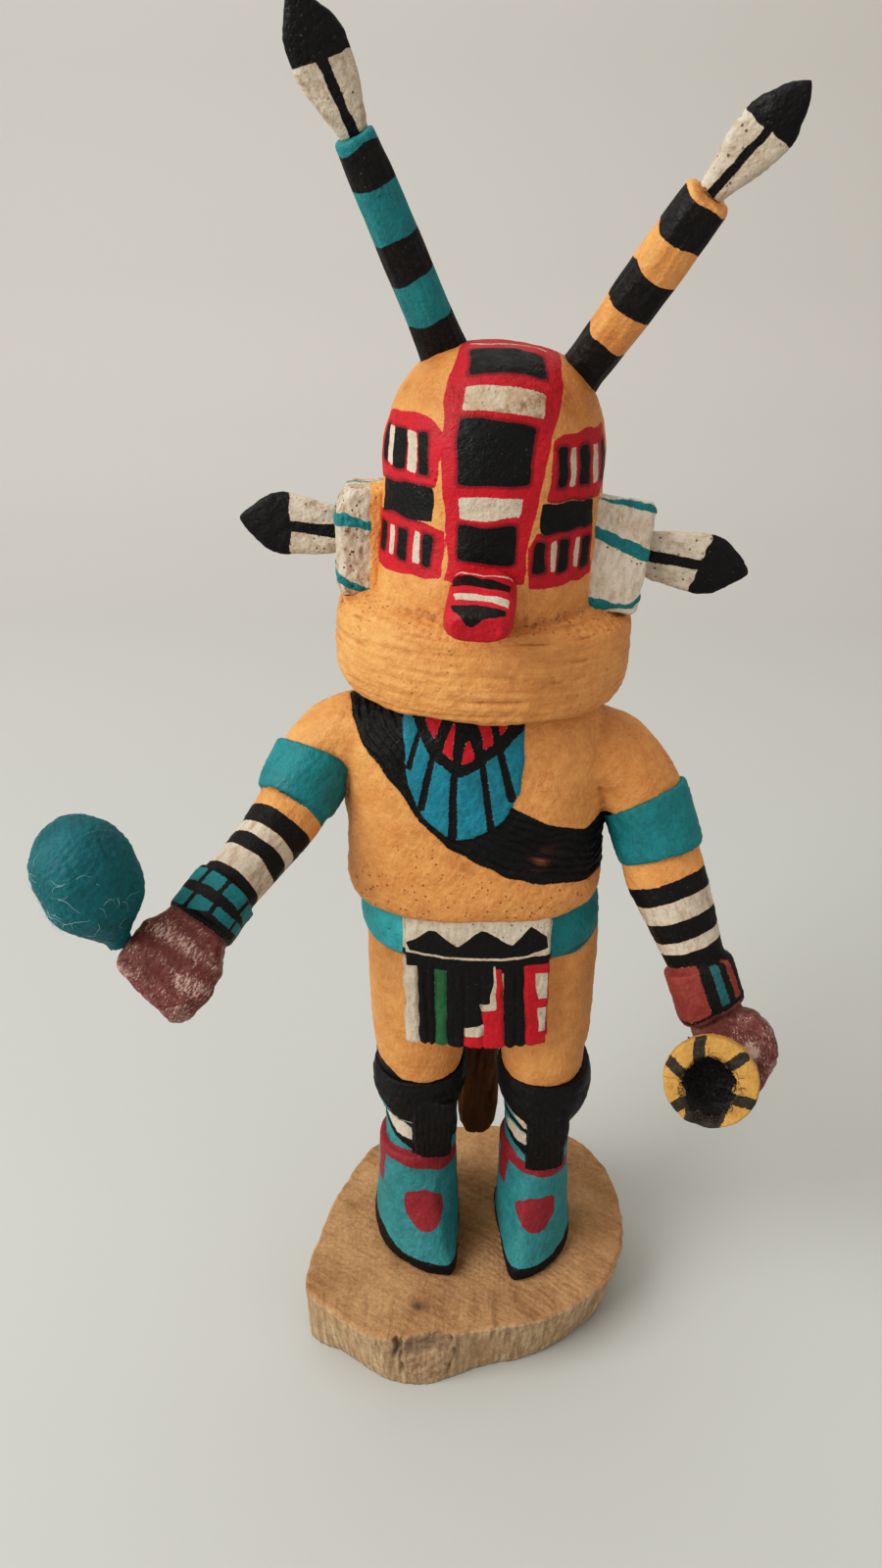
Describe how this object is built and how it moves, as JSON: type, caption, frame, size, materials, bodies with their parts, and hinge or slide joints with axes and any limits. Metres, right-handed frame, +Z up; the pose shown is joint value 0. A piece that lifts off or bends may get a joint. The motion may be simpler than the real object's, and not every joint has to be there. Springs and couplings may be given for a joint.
{
  "type": "kachina doll",
  "caption": "Carved and painted wooden kachina figure with a domed mask, horns and feathers, holding a gourd rattle and a blossom, standing on a log slice.",
  "frame": {"origin": "on the underside of the log slice, straight below the figure's upright axis", "axes": "+Z up through the figure, -Y the way the figure faces, +X the figure's own left"},
  "size_m": [0.1413, 0.083, 0.2744],
  "materials": {
    "bare_wood": "sawn and weathered bare log wood",
    "ochre_paint": "matte earth paint on carved root wood, with painted turquoise, black, red and white",
    "black_paint": "matte black paint on wood, with turquoise or ochre bands",
    "white_paint": "aged matte white paint on wood",
    "red_paint": "matte red paint on wood",
    "turquoise_paint": "matte turquoise paint on wood",
    "yellow_paint": "matte yellow paint on wood",
    "fur_brown_paint": "matte dark brown paint on wood"
  },
  "bodies": {
    "root": {"log_slice_base": "bare_wood", "carved_figure": "ochre_paint", "right_horn": "black_paint", "left_horn": "black_paint", "right_horn_feather": "white_paint", "left_horn_feather": "white_paint", "right_ear": "white_paint", "left_ear": "white_paint", "right_ear_feather": "white_paint", "left_ear_feather": "white_paint", "bill": "red_paint", "gourd_rattle": "turquoise_paint", "yellow_blossom": "yellow_paint", "fox_tail": "fur_brown_paint"}
  },
  "joints": []
}
